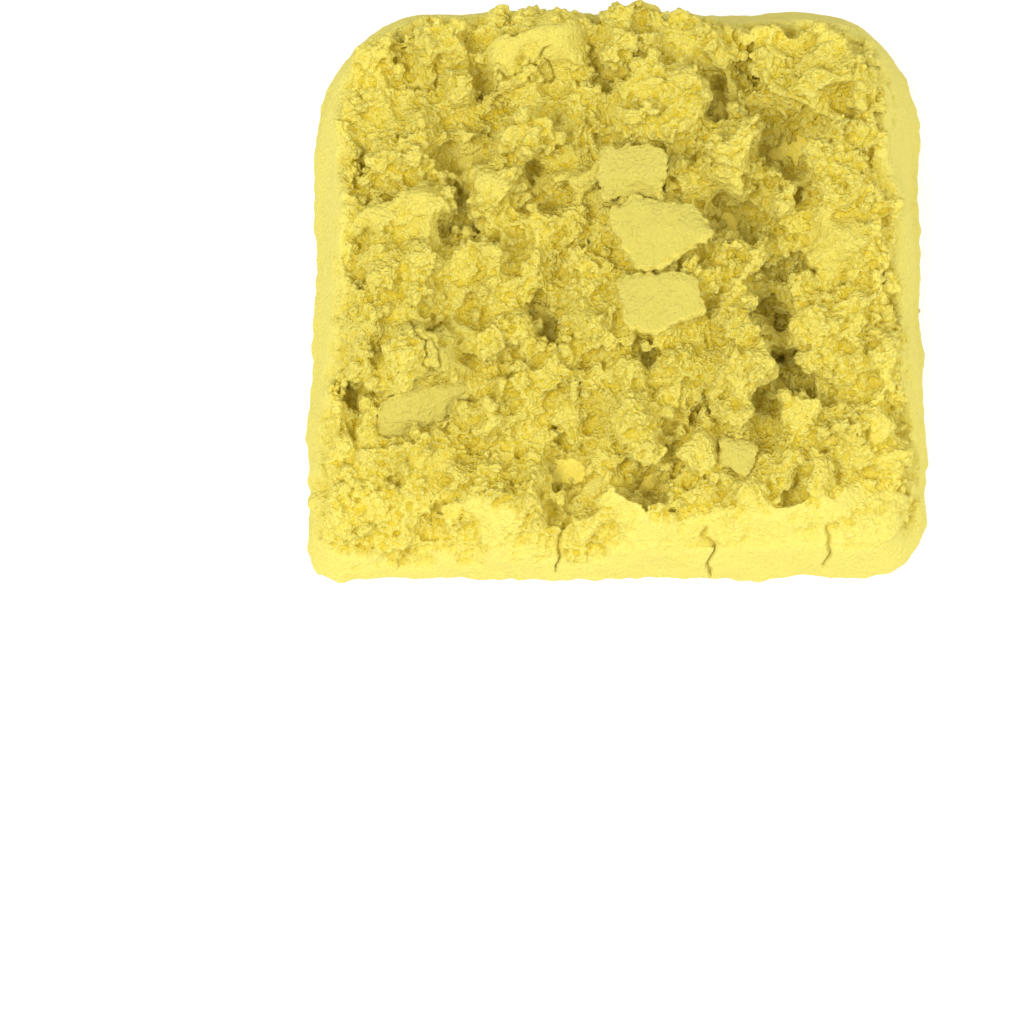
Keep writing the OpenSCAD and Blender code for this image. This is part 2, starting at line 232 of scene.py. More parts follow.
class ShapeTree:
    """A geometry node tree that changes one mesh step by step."""

    def __init__(self, name):
        self.tree = bpy.data.node_groups.new(name, "GeometryNodeTree")
        for way in ("INPUT", "OUTPUT"):
            self.tree.interface.new_socket("Geometry", in_out=way, socket_type="NodeSocketGeometry")
        self.flow = self.node("NodeGroupInput").outputs[0]
        self.place = Value(self.tree, self.node("GeometryNodeInputPosition").outputs[0])
        self.facing = Value(self.tree, self.node("GeometryNodeInputNormal").outputs[0])

    def node(self, kind):
        return self.tree.nodes.new(kind)

    def attribute(self, name, data_type="FLOAT"):
        node = self.node("GeometryNodeInputNamedAttribute")
        node.data_type = data_type
        node.inputs["Name"].default_value = name
        return Value(self.tree, node.outputs["Attribute"])

    def move(self, offset):
        node = self.node("GeometryNodeSetPosition")
        self.tree.links.new(self.flow, node.inputs["Geometry"])
        feed(self.tree, offset, node.inputs["Offset"])
        self.flow = node.outputs[0]

    def store(self, name, value, data_type="FLOAT"):
        node = self.node("GeometryNodeStoreNamedAttribute")
        node.data_type = data_type
        node.domain = "POINT"
        node.inputs["Name"].default_value = name
        self.tree.links.new(self.flow, node.inputs["Geometry"])
        feed(self.tree, value, node.inputs["Value"])
        self.flow = node.outputs[0]

    def blurred(self, value, rounds):
        node = self.node("GeometryNodeBlurAttribute")
        node.data_type = "FLOAT_VECTOR"
        self.tree.links.new(value.socket, node.inputs["Value"])
        node.inputs["Iterations"].default_value = rounds
        return Value(self.tree, node.outputs["Value"])

    def from_mesh_of(self, obj, name, data_type="FLOAT"):
        """The attribute of the point of obj's mesh that is nearest."""
        info = self.node("GeometryNodeObjectInfo")
        info.inputs["Object"].default_value = obj
        near = self.node("GeometryNodeSampleNearest")
        self.tree.links.new(info.outputs["Geometry"], near.inputs["Geometry"])
        pick = self.node("GeometryNodeSampleIndex")
        pick.data_type = data_type
        self.tree.links.new(info.outputs["Geometry"], pick.inputs["Geometry"])
        feed(self.tree, self.attribute(name, data_type), pick.inputs["Value"])
        self.tree.links.new(near.outputs[0], pick.inputs["Index"])
        return Value(self.tree, pick.outputs[0])

    def over_mesh_of(self, obj, name):
        """The attribute where obj's mesh is nearest, blended across the face there."""
        info = self.node("GeometryNodeObjectInfo")
        info.inputs["Object"].default_value = obj
        near = self.node("GeometryNodeSampleNearestSurface")
        self.tree.links.new(info.outputs["Geometry"], near.inputs["Mesh"])
        feed(self.tree, self.attribute(name), near.inputs["Value"])
        return Value(self.tree, near.outputs[0])

    def finish(self):
        leave = self.node("NodeGroupOutput")
        self.tree.links.new(self.flow, leave.inputs[0])
        return self.tree


def apply_tree(obj, tree):
    obj.modifiers.new(tree.name, "NODES").node_group = tree
    bake_modifiers(obj)


# ---------------------------------------------------------------- the shared bend
def height_hold(shape, low, high):
    """0 at the base and 1 above it, so that the block keeps its flat base."""
    split = shape.node("ShaderNodeSeparateXYZ")
    shape.tree.links.new(shape.place.socket, split.inputs[0])
    return Value(shape.tree, split.outputs[2]).ramp(low, high)


def bend_tree():
    """Moves every point by one smooth field that all the pieces share. The base stays flat."""
    shape = ShapeTree("Bend")
    tree = shape.tree
    hold = height_hold(shape, 0.2 * MM, 6 * MM)
    torn = shape.attribute("torn")
    total = None
    for size, reach, share in ((26 * MM, 2.2 * MM, torn * 0 + 1), (12 * MM, 2.0 * MM, torn * 0.6 + 0.4),
                               (4 * MM, 0.8 * MM, torn)):
        _, stir = noise_at(tree, shape.place, size, 1.0)
        centred = vector_math(tree, "SUBTRACT", stir, (0.5, 0.5, 0.5))
        part = vector_math(tree, "SCALE", centred, (hold * 0.5 + 0.5) * share * (2 * reach))
        total = part if total is None else vector_math(tree, "ADD", total, part)
    flat = shape.node("ShaderNodeCombineXYZ")
    split = shape.node("ShaderNodeSeparateXYZ")
    tree.links.new(total.socket, split.inputs[0])
    for axis in (0, 1):
        tree.links.new(split.outputs[axis], flat.inputs[axis])
    rise = Value(tree, split.outputs[2]) * hold
    tree.links.new(rise.socket, flat.inputs[2])
    shape.move(Value(tree, flat.outputs[0]))
    return shape.finish()


def tilted_cells(tree, place, size, slope):
    """Height in metres of a surface broken into cells, each tilted its own way."""
    node = tree.nodes.new("ShaderNodeTexVoronoi")
    scaled = vector_math(tree, "SCALE", place, 1 / size)
    feed(tree, scaled, node.inputs["Vector"])
    node.inputs["Scale"].default_value = 1
    from_middle = vector_math(tree, "SUBTRACT", scaled, Value(tree, node.outputs["Position"]))
    tilt = vector_math(tree, "SUBTRACT", Value(tree, node.outputs["Color"]), (0.5, 0.5, 0.5))
    return vector_math(tree, "DOT_PRODUCT", from_middle, tilt) * (2 * slope * size)


def clod_tree():
    """Breaks the torn top into clods that are tilted every way, with creases between them."""
    shape = ShapeTree("Clods")
    tree = shape.tree
    stirred = warped(tree, shape.place, 6 * MM, 2.0 * MM)
    cell, _ = cells_at(tree, stirred, 9 * MM, "SMOOTH_F1")
    height = tilted_cells(tree, stirred, 8 * MM, 0.46) + cell.ramp(0.0, 0.85, 1.5 * MM, -1.5 * MM)
    torn = shape.attribute("torn") * height_hold(shape, 1 * MM, 5 * MM)
    clear = shape.attribute("clear")
    shape.move(vector_math(tree, "SCALE", shape.facing, height * torn * clear))
    return shape.finish()


# ---------------------------------------------------------------- crumbs in the surface
def crumb_tree(source):
    """Pushes a torn surface in and out into clumps, crumbs, cracks and pits."""
    shape = ShapeTree("Crumbs of " + source.name)
    tree = shape.tree
    place = shape.place
    shape.store("torn", shape.over_mesh_of(source, "torn"))
    shape.store("owner", shape.from_mesh_of(source, "owner"))
    torn = shape.attribute("torn") * height_hold(shape, 0.4 * MM, 2 * MM)

    patch, _ = noise_at(tree, place, 8 * MM, 1.0)
    rich = patch.ramp(0.40, 0.58, 0.3, 1.0)
    broken, _ = noise_at(tree, place, 3.4 * MM, 5.0, 0.64)
    stirred = warped(tree, place, 1.6 * MM, 0.7 * MM)
    crumb, _ = cells_at(tree, stirred, 2.4 * MM)
    morsel, _ = cells_at(tree, stirred, 1.3 * MM)
    hole, _ = noise_at(tree, place, 2.2 * MM, 2.0, 0.6)
    height = ((broken - 0.5) * 1.6 * rich
              + crumb.ramp(0.1, 0.85, 0.32, -0.32) * rich
              + morsel.ramp(0.1, 0.8, 0.25, -0.25) * rich
              - hole.ramp(0.58, 0.70, 0.0, 0.8) * rich)
    ripple, _ = noise_at(tree, place, 5 * MM, 2.0)
    pore, _ = noise_at(tree, place, 0.9 * MM, 2.0, 0.6)
    height = height * torn + (ripple - 0.5) * 0.35 + (pore - 0.5) * (torn * 0.4 + 0.32)
    height = height - shape.attribute("crack") * 1.2
    shape.move(vector_math(tree, "SCALE", shape.facing, height * MM))

    # How far each point lies sunk below its neighbours, near and wide; the sand material paints shade
    # from these.
    for name, rounds in (("fine_cavity", 6), ("broad_cavity", 40)):
        gap = vector_math(tree, "SUBTRACT", place, shape.blurred(place, rounds))
        shape.store(name, vector_math(tree, "DOT_PRODUCT", gap, shape.facing) * (1 / MM))
    shape.store("outward", shape.blurred(shape.facing, 25), "FLOAT_VECTOR")
    return shape.finish()


# ---------------------------------------------------------------- what the mould pressed
# Nodes with a smooth face besides the mould's walls: the way it faces, and how smooth it is.
SMOOTH_FACES = {
    "leaf_flake": ((0, 0, 1), 1.0),
    "second_flake": ((0, 0, 1), 1.0),
    "curled_plate": ((0, -0.4, 1), 1.0),
    "bar_chip": ((0.1, -0.2, 1), 1.0),
    "slab_chip": ((0, 0, 1), 1.0),
    "back_plate": ((0, -0.2, 1), 0.95),
    "left_wedge": ((0.6, -0.45, 0.6), 0.95),
    "bar_lump": ((0, -0.3, 1), 0.8),
    "wedge_lump": ((-0.6, -0.3, 0.7), 0.8),
    "flat_chunk": ((0.4, 0, 1), 0.6),
    "cone_lump": ((-0.3, -0.7, 0.6), 0.6),
    "smooth_facet_lump": ((0, -0.2, 1), 0.7),
    "mesa_slab": ((0.3, -0.4, 0.8), 0.8),
    "front_right_slab": ((0, -0.4, 0.8), 0.85),
    "front_right_corner": ((0.1, -0.4, 0.8), 0.7),
    "front_middle_slab": ((0, -0.4, 0.8), 0.5),
    "front_left_slab": ((0, -0.4, 0.8), 0.6),
    "large_ridge": ((0.9, -0.2, 0.3), 0.6),
    "under_lip_lumps": ((0, -0.5, 0.8), 0.6),
}


def pressed_share(points, facing, owners, names):
    """1 where the surface is pressed smooth, 0 where it is torn."""
    gap = mould_gap(points)
    pressed = ease(gap, -1.0 * MM, -0.3 * MM) * ease(0.75 - facing[:, 2], 0, 0.2)
    for name, (way, strength) in SMOOTH_FACES.items():
        if name in names:
            way = np.array(way) / np.linalg.norm(way)
            face = strength * ease(facing @ way, 0.66, 0.84) * (owners == names.index(name))
            pressed = np.maximum(pressed, face)
    return pressed


def noise_over(points, size):
    """One smooth random value a point, about -1 to 1, with features about size across."""
    return np.array([noise.noise(Vector(p) / size) for p in points])


RIM_REACH = 9 * MM
RIM_LOSS = 2.0 * MM
RIM_SINK = 2.0 * MM


def break_rim(form):
    """Wears the walls' top edge back unevenly, and lets the torn surface run down over it."""
    points = coords(form.data)
    facing = normals(form.data)
    torn = get_attribute(form.data, "torn")
    top = KDTree(len(points))
    for i in np.flatnonzero((facing[:, 2] > 0.6) & (torn > 0.5)):
        top.insert(points[i], i)
    top.balance()
    away = np.array([top.find(p)[2] for p in points])
    uneven = 0.55 + 2.0 * noise_over(points, 8 * MM) + 1.0 * noise_over(points, 3 * MM)
    near = 1 - ease(away, 0.5 * MM, RIM_REACH * np.clip(uneven, 0.12, 1.5))
    set_attribute(form.data, "torn", np.maximum(torn, near * (points[:, 2] > 4 * MM)))
    wall = (1 - torn) * ease(points[:, 2], 4 * MM, 9 * MM) * (np.abs(facing[:, 2]) < 0.6)
    loss = wall * (1 - ease(away, 0, RIM_REACH)) * np.clip(uneven + 0.2, 0, 1.4) * RIM_LOSS
    outer = ease(mould_gap(points), -3 * MM, -0.5 * MM) * ease(points[:, 2], 6 * MM, 14 * MM)
    sink = outer * (1 - ease(away, 0.5 * MM, 6 * MM)) * np.clip(uneven + 0.3, 0.3, 1.2) * RIM_SINK
    set_coords(form.data, points - facing * loss[:, None] - np.outer(sink, (0, 0, 1)))


LUMP_RISE = 4.4 * MM
LUMP_SLOPE = 5.0 * MM


def seam_distance(mesh, owner, kind):
    """How far each point is from the nearest seam between two owners of one kind."""
    points = coords(mesh)
    edges = edges_of(mesh)
    edges = edges[kind[edges].all(axis=1)]
    seam = np.unique(edges[owner[edges[:, 0]] != owner[edges[:, 1]]])
    tree = KDTree(len(seam))
    for i in seam:
        tree.insert(points[i], i)
    tree.balance()
    return np.array([tree.find(p)[2] for p in points])


def heap_lumps(form, flakes, walls):
    """Heaps every lump up towards its middle and sinks the seams between them."""
    points = coords(form.data)
    facing = normals(form.data)
    owner = get_attribute(form.data, "owner")
    clear = ease(np.array([flakes.find_nearest(p)[3] for p in points]), 0.4 * MM, 2.2 * MM)
    set_attribute(form.data, "clear", clear)
    depth = seam_distance(form.data, owner, ~np.isin(np.rint(owner), walls))
    strength = 0.85 + 1.2 * noise_over(points, 14 * MM)
    rise = (ease(depth, 0, LUMP_SLOPE) - 0.3) * LUMP_RISE * np.clip(strength, 0.2, 1.6)
    inside = ease(-mould_gap(points), 0.5 * MM, 4 * MM)
    rise *= inside * clear * ease(facing[:, 2], 0.0, 0.5)
    set_coords(form.data, points + np.outer(rise, (0, 0, 1)))


FOOT_HEIGHT = 1.4 * MM
FOOT_SPREAD = 1.5 * MM


def spread_foot(form):
    """Sand squeezed out under the mould's edge makes the foot of the walls wander in and out."""
    points = coords(form.data)
    facing = normals(form.data)
    level = facing * (1, 1, 0)
    level /= np.maximum(np.linalg.norm(level, axis=1), 0.3)[:, None]
    below = points * (1, 1, 0)
    wander = 0.15 + noise_over(below, 8 * MM) + 0.8 * noise_over(below, 3 * MM)
    near = np.exp(-np.maximum(points[:, 2], 0) / FOOT_HEIGHT) * ease(mould_gap(points), -3 * MM, -1 * MM)
    points += level * (near * wander * FOOT_SPREAD)[:, None]
    points[:, 2] = np.maximum(points[:, 2], 0)
    set_coords(form.data, points)


# ---------------------------------------------------------------- cracks
# Each crack runs through one node's box, from one corner share of it to another.
CRACKS = (
    ("front_right_slab", (0.85, 0.6, 1.0), (0.80, 0.0, 0.35)),
    ("front_left_slab", (0.95, 0.9, 1.0), (0.85, 0.0, 0.2)),
    ("front_middle_slab", (0.5, 0.7, 1.0), (0.52, 0.0, 0.1)),
    ("left_wedge", (0.2, 0.5, 0.9), (0.9, 0.1, 0.7)),
    ("left_wedge", (0.35, 0.9, 1.0), (0.5, 0.1, 0.8)),
    ("back_plate", (0.1, 0.3, 1.0), (0.75, 0.6, 1.0)),
)
CRACK_WIDTH = 0.28 * MM
CRACK_STRAY = 1.4 * MM


def crack_share(points):
    """1 in the bottom of a crack and 0 away from it. A crack wanders and narrows to its ends."""
    share = np.zeros(len(points))
    for name, start, end in CRACKS:
        low, high = (np.array(corner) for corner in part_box(name))
        a = low + (high - low) * start
        b = low + (high - low) * end
        near = np.flatnonzero(np.linalg.norm(points - (a + b) / 2, axis=1) < np.linalg.norm(b - a))
        close = points[near]
        stray = np.array([noise.noise_vector(Vector(p) / (3 * MM)) for p in close])
        along = np.clip((close - a) @ (b - a) / ((b - a) @ (b - a)), 0, 1)
        offset = close + stray * CRACK_STRAY - a - np.outer(along, b - a)
        across = np.cross(b - a, (0, 0.5, 1))
        away = np.abs(offset @ across) / np.linalg.norm(across)
        width = CRACK_WIDTH * (1.6 - along)
        ends = ease(along, 0, 0.2) * (1 - ease(along, 0.9, 1.0))
        share[near] = np.maximum(share[near], (1 - ease(away, width * 0.3, width * 1.5)) * ends)
    return share


# ---------------------------------------------------------------- loose crumbs set into the top
def lone_crumb():
    """Points and triangles of a ball of unit radius."""
    ball = bmesh.new()
    bmesh.ops.create_icosphere(ball, subdivisions=1, radius=1)
    points = np.array([v.co[:] for v in ball.verts])
    faces = np.array([[v.index for v in f.verts] for f in ball.faces])
    ball.free()
    return points, faces


def scattered_crumbs(mesh, torn, count, smallest, largest, keep_off, seed):
    """Uneven rounded crumbs set into the torn part of a mesh: their points and triangles."""
    rng = np.random.default_rng(seed)
    points = coords(mesh)
    facing = normals(mesh)
    mesh.calc_loop_triangles()
    corners = np.empty(len(mesh.loop_triangles) * 3, np.int32)
    mesh.loop_triangles.foreach_get("vertices", corners)
    corners = corners.reshape(-1, 3)
    a, b, c = (points[corners[:, i]] for i in range(3))
    area = np.linalg.norm(np.cross(b - a, c - a), axis=1) / 2
    exposed = ease(-mould_gap(points), 0.8 * MM, 2.5 * MM)
    weight = area * (torn * exposed)[corners].mean(axis=1) ** 2
    picked = rng.choice(len(corners), count * 2, p=weight / weight.sum())
    shares = rng.dirichlet((1, 1, 1), len(picked))
    spots = np.einsum("nk,nkd->nd", shares, points[corners[picked]])
    ways = facing[corners[picked]].mean(axis=1)
    rubble = np.array([noise.noise(Vector(p) / (9 * MM)) for p in spots])
    clear = np.array([keep_off.find_nearest(p)[3] > 0.8 * MM for p in spots])
    keep = np.flatnonzero((rubble + rng.uniform(-0.5, 0.6, len(spots)) > 0) & clear)[:count]
    sizes = smallest * (largest / smallest) ** (rng.random(len(keep)) ** 2.2)
    ball, faces = lone_crumb()
    all_points = []
    all_faces = []
    for i, (spot, size) in enumerate(zip(keep, sizes)):
        turn, _ = np.linalg.qr(rng.normal(size=(3, 3)))
        shape = ball * rng.uniform(0.7, 1.15, (len(ball), 1))
        shape = (shape * rng.uniform((0.8, 0.75, 0.6), (1.1, 1.0, 0.9))) @ turn
        all_points.append(spots[spot] + ways[spot] * size * rng.uniform(-0.1, 0.4) + shape * size)
        all_faces.append(faces + i * len(ball))
    return np.concatenate(all_points), np.concatenate(all_faces)


# ---------------------------------------------------------------- meshes from the frame
def triangles_of(mesh):
    mesh.calc_loop_triangles()
    corners = np.empty(len(mesh.loop_triangles) * 3, np.int32)
    mesh.loop_triangles.foreach_get("vertices", corners)
    return corners.reshape(-1, 3)


def joined(names):
    """Points, triangles and each triangle's owner number, for several nodes together."""
    all_points, all_faces, owners = [], [], []
    total = 0
    for number, name in enumerate(names):
        mesh = frame["nodes"][name].data
        all_points.append(coords(mesh))
        all_faces.append(triangles_of(mesh) + total)
        owners.append(np.full(len(all_faces[-1]), number))
        total += len(all_points[-1])
    return np.concatenate(all_points), np.concatenate(all_faces), np.concatenate(owners)


def new_object(name, points, faces):
    mesh = bpy.data.meshes.new(name)
    mesh.from_pydata(points.tolist(), [], faces.tolist())
    obj = bpy.data.objects.new(name, mesh)
    bpy.context.scene.collection.objects.link(obj)
    return obj


def drop(obj):
    bpy.data.objects.remove(obj, do_unlink=True)


def swell(obj, reach):
    """Moves every point straight out of the surface, or into it."""
    points = coords(obj.data)
    points += normals(obj.data) * reach
    set_coords(obj.data, points)


def soften(obj, rounds):
    step = obj.modifiers.new("Soften", "SMOOTH")
    step.factor = 0.5
    step.iterations = rounds
    bake_modifiers(obj)


def rough_out(name, names, owner_names, voxel, rounds, closing=0.0):
    """The joined nodes as one even mesh that carries each point's owner and torn share."""
    points, faces, _ = joined(names)
    form = new_object(name, points, faces)
    remesh(form, voxel, rounds)
    keep_largest(form)
    if closing:
        swell(form, closing)
        remesh(form, voxel, rounds)
        swell(form, -closing)
        remesh(form, voxel, 1)
        keep_largest(form)
    o_points, o_faces, o_owner = joined(owner_names)
    nearest = BVHTree.FromPolygons(o_points.tolist(), o_faces.tolist())
    points = coords(form.data)
    owner = o_owner[[nearest.find_nearest(p)[2] for p in points]]
    torn = 1 - pressed_share(points, normals(form.data), owner, owner_names)
    set_attribute(form.data, "torn", torn)
    set_attribute(form.data, "owner", owner)
    return form


def edges_of(mesh):
    ends = np.empty(len(mesh.edges) * 2, np.int32)
    mesh.edges.foreach_get("vertices", ends)
    return ends.reshape(-1, 2)


def islands(count, edges):
    """For each of count points, the number of the connected island that it is on."""
    label = np.arange(count)
    while True:
        a, b = label[edges[:, 0]], label[edges[:, 1]]
        apart = a != b
        if not apart.any():
            return label
        low = np.minimum(a[apart], b[apart])
        high = np.maximum(a[apart], b[apart])
        np.minimum.at(label, high, low)
        jumped = label[label]
        while (jumped != label).any():
            label, jumped = jumped, jumped[jumped]


def keep_largest(obj):
    """Drops crumbs that float free and the bubbles that a remesh leaves inside."""
    label = islands(len(obj.data.vertices), edges_of(obj.data))
    main = np.bincount(label).argmax()
    loose = np.flatnonzero(label != main)
    if len(loose) == 0:
        return
    edit = bmesh.new()
    edit.from_mesh(obj.data)
    edit.verts.ensure_lookup_table()
    bmesh.ops.delete(edit, geom=[edit.verts[i] for i in loose], context="VERTS")
    edit.to_mesh(obj.data)
    edit.free()


# ---------------------------------------------------------------- the block's surface
CRUMB_SIZES = (0.5 * MM, 2.6 * MM)
CRUMB_COUNT = 2800


def block_form(walls_and_lumps, flakes):
    """The whole block's skin in one mesh, with crumbs, cracks and pits."""
    form = rough_out("form", [CORE] + walls_and_lumps, walls_and_lumps, COARSE, 2, closing=1.3 * MM)
    f_points, f_faces, _ = joined(flakes)
    keep_off = BVHTree.FromPolygons(f_points.tolist(), f_faces.tolist())
    break_rim(form)
    walls = [i for i, name in enumerate(walls_and_lumps) if SLOT_OF[name] == "pressed_sand"]
    heap_lumps(form, keep_off, walls)
    apply_tree(form, bend_tree())
    apply_tree(form, clod_tree())
    soften(form, 2)
    spread_foot(form)
    torn = get_attribute(form.data, "torn")
    c_points, c_faces = scattered_crumbs(form.data, torn, CRUMB_COUNT, *CRUMB_SIZES, keep_off, 7)
    points = np.concatenate((coords(form.data), c_points))
    faces = np.concatenate((triangles_of(form.data), c_faces + len(form.data.vertices)))
    skin = new_object("skin", points, faces)
    remesh(skin, FINE)
    keep_largest(skin)
    print("skin faces", len(skin.data.polygons))
    set_attribute(skin.data, "crack", crack_share(coords(skin.data)))
    apply_tree(skin, crumb_tree(form))
    drop(form)
    return skin


def get_attribute(mesh, name):
    values = np.empty(len(mesh.vertices), np.float32)
    mesh.attributes[name].data.foreach_get("value", values)
    return values.astype(float)


def get_vectors(mesh, name):
    values = np.empty(len(mesh.vertices) * 3, np.float32)
    mesh.attributes[name].data.foreach_get("vector", values)
    return values.reshape(-1, 3).astype(float)


CLOSING_DEPTH = 1.8 * MM
CARRIED = ("torn", "fine_cavity", "broad_cavity")


def split_skin(skin, names):
    """Cuts the skin into one closed piece for each node, with straight cuts down to its foot."""
    mesh = skin.data
    points = coords(mesh)
    points[:, 2] = np.maximum(points[:, 2], 0)
    facing = normals(mesh)
    outward = get_vectors(mesh, "outward")
    corner_count = len(mesh.loops)
    corners = np.empty(corner_count, np.int32)
    mesh.loops.foreach_get("vertex_index", corners)
    quads = corners.reshape(-1, 4)
    owner = np.rint(get_attribute(mesh, "owner")).astype(int)
    face_owner = owner[quads[:, 0]]
    under = (points[quads, 2] < 0.05 * MM).all(axis=1)
    inner = mould_gap(points[quads].mean(axis=1)) < -3 * MM
    shown = ~(under & inner)
    values = {name: get_attribute(mesh, name) for name in CARRIED}
    pieces = {}
    for number, name in enumerate(names):
        own = quads[shown & (face_owner == number)]
        used, local = np.unique(own, return_inverse=True)
        local = local.reshape(-1, 4)
        edges = np.concatenate([local[:, (i, (i + 1) % 4)] for i in range(4)])
        keys = edges[:, 0].astype(np.int64) * (len(used) + 1) + edges[:, 1]
        back = edges[:, 1].astype(np.int64) * (len(used) + 1) + edges[:, 0]
        rim = edges[~np.isin(keys, back)]
        ring, rim_local = np.unique(rim, return_inverse=True)
        rim_local = rim_local.reshape(-1, 2)
        inner_ring = points[used[ring]] - outward[used[ring]] * CLOSING_DEPTH
        inner_ring[:, 2] = np.maximum(inner_ring[:, 2], 0)
        foot = min(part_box(name)[0][2], inner_ring[:, 2].min())
        foot_ring = inner_ring * (1, 1, 0) + (0, 0, foot)
        middle = foot_ring.mean(axis=0)
        rows = [rim, rim_local + len(used), rim_local + len(used) + len(ring)]
        skirt = np.concatenate([
            np.column_stack((upper[:, 1], upper[:, 0], lower[:, 0], lower[:, 1]))
            for upper, lower in zip(rows, rows[1:])
        ])
        last = len(used) + 2 * len(ring)
        base = np.column_stack((rows[2][:, 1], rows[2][:, 0], np.full(len(rim), last)))
        made = bpy.data.meshes.new("sand_" + name)
        made.from_pydata(np.vstack((points[used], inner_ring, foot_ring, middle)).tolist(), [],
                         local.tolist() + skirt.tolist() + base.tolist())
        spare = 2 * len(ring) + 1
        for attribute, data in values.items():
            set_attribute(made, attribute, np.append(data[used], np.zeros(spare)))
        smooth = np.zeros(len(made.polygons), bool)
        smooth[:len(local)] = True
        made.polygons.foreach_set("use_smooth", smooth)
        held = np.vstack((facing[used], np.zeros((spare, 3))))
        made.normals_split_custom_set_from_vertices(held.tolist())
        piece = bpy.data.objects.new("sand_" + name, made)
        bpy.context.scene.collection.objects.link(piece)
        pieces[name] = piece
    drop(skin)
    return pieces


FLAKE_GROWTH = np.array((0.8, 0.8, 0.3)) * MM
FLAKE_RAGGED = np.array((1.3, 1.3, 0.2)) * MM
FLAKE_CRUMBLE = 0.55


def flake_piece(name):
    """One loose flake: smooth on top, broken along its edges."""
    form = rough_out("form_" + name, [name], [name], 0.35 * MM, 1)
    points = coords(form.data)
    ragged = 0.7 * noise_over(points, 3 * MM) + 0.5 * noise_over(points, 1.2 * MM)
    growth = FLAKE_GROWTH + np.outer(ragged, FLAKE_RAGGED)
    set_attribute(form.data, "torn", get_attribute(form.data, "torn") * FLAKE_CRUMBLE)
    set_coords(form.data, points + normals(form.data) * growth)
    apply_tree(form, bend_tree())
    piece = bpy.data.objects.new("sand_" + name, form.data.copy())
    bpy.context.scene.collection.objects.link(piece)
    remesh(piece, 0.25 * MM)
    set_attribute(piece.data, "crack", np.zeros(len(piece.data.vertices)))
    apply_tree(piece, crumb_tree(form))
    piece.data.shade_smooth()
    drop(form)
    return piece


def core_piece():
    """The compacted middle, which lies under everything else."""
    form = rough_out("form_core", [CORE], [CORE], 1.2 * MM, 2)
    points = coords(form.data)
    sunk = ease(points[:, 2], 0.2 * MM, 2 * MM) * 2.2 * MM
    points -= normals(form.data) * sunk[:, None]
    points[:, 2] = np.maximum(points[:, 2], 0)
    set_coords(form.data, points)
    form.data.shade_smooth()
    form.name = "sand_" + CORE
    return form


# ---------------------------------------------------------------- materials
def stored(tree, name):
    node = tree.nodes.new("ShaderNodeAttribute")
    node.attribute_name = name
    return Value(tree, node.outputs["Fac"])


# Torn sand's own colour, and the darker colour of painted shade in its hollows, creases and between its
# grains.
TORN_LIGHT = (0.97, 0.855, 0.195)
TORN_PAINTED_SHADE = (0.80, 0.595, 0.008)


def blend(tree, share, low, high):
    """A colour between low and high."""
    mix = tree.nodes.new("ShaderNodeMix")
    mix.data_type = "RGBA"
    tree.links.new(share.socket, mix.inputs["Factor"])
    feed(tree, low, mix.inputs[6])
    feed(tree, high, mix.inputs[7])
    return Value(tree, mix.outputs[2])


def sand(name, light, painted_shade_colour, grain_depth):
    """Fine sand: grain bump, grain-by-grain tint that also paints shade between grains, and painted
    shade in its hollows.

    The colours given are those of a pressed face: its own colour, and the darker colour of painted shade
    in its hollows. Where any sand is torn it has the torn colours.
    """
    material = bpy.data.materials.new(name)
    material.use_nodes = True
    tree = material.node_tree
    shader = tree.nodes["Principled BSDF"]
    shader.inputs["Roughness"].default_value = 0.92
    shader.inputs["Specular IOR Level"].default_value = 0.25
    place = Value(tree, tree.nodes.new("ShaderNodeTexCoord").outputs["Object"])
    fine = stored(tree, "fine_cavity")
    broad = stored(tree, "broad_cavity")
    torn = stored(tree, "torn")
    grain_and_painted_shade, _ = noise_at(tree, place, 0.55 * MM, 3.0, 0.7)
    blotch, _ = noise_at(tree, place, 6 * MM, 3.0)
    morsel, _ = cells_at(tree, warped(tree, place, 1.0 * MM, 0.4 * MM), 0.9 * MM)
    morsel = morsel.ramp(0.25, 0.7, 1.0, 0.0)
    # How much of the lit colour each point gets. Creases, recesses and the gaps between tiny crumbs get
    # painted shade. Blotches give the sand's random tone. The grain speckle is grain tone and also
    # painted shade between grains.
    share = (fine.ramp(-0.10, 0.04) * 0.30 + broad.ramp(-0.6, 0.3) * 0.15
             + blotch.ramp(0.3, 0.7) * 0.10 + grain_and_painted_shade.ramp(0.40, 0.56) * 0.25 + morsel * 0.20)
    share = share * (torn * 0.55 + 0.45) + (torn * -0.5 + 0.5)
    # lit is the sand's own colour; the other colour is painted shade, used where the share is low.
    lit = blend(tree, torn, (*light, 1), (*TORN_LIGHT, 1))
    painted_shade = blend(tree, torn, (*painted_shade_colour, 1), (*TORN_PAINTED_SHADE, 1))
    tree.links.new(blend(tree, share, painted_shade, lit).socket, shader.inputs["Base Color"])
    bump = tree.nodes.new("ShaderNodeBump")
    bump.inputs["Strength"].default_value = 1.0
    bump.inputs["Distance"].default_value = grain_depth
    relief = (grain_and_painted_shade + morsel * 0.35) * (torn * 0.5 + 0.5)
    tree.links.new(relief.socket, bump.inputs["Height"])
    tree.links.new(bump.outputs[0], shader.inputs["Normal"])
    return material


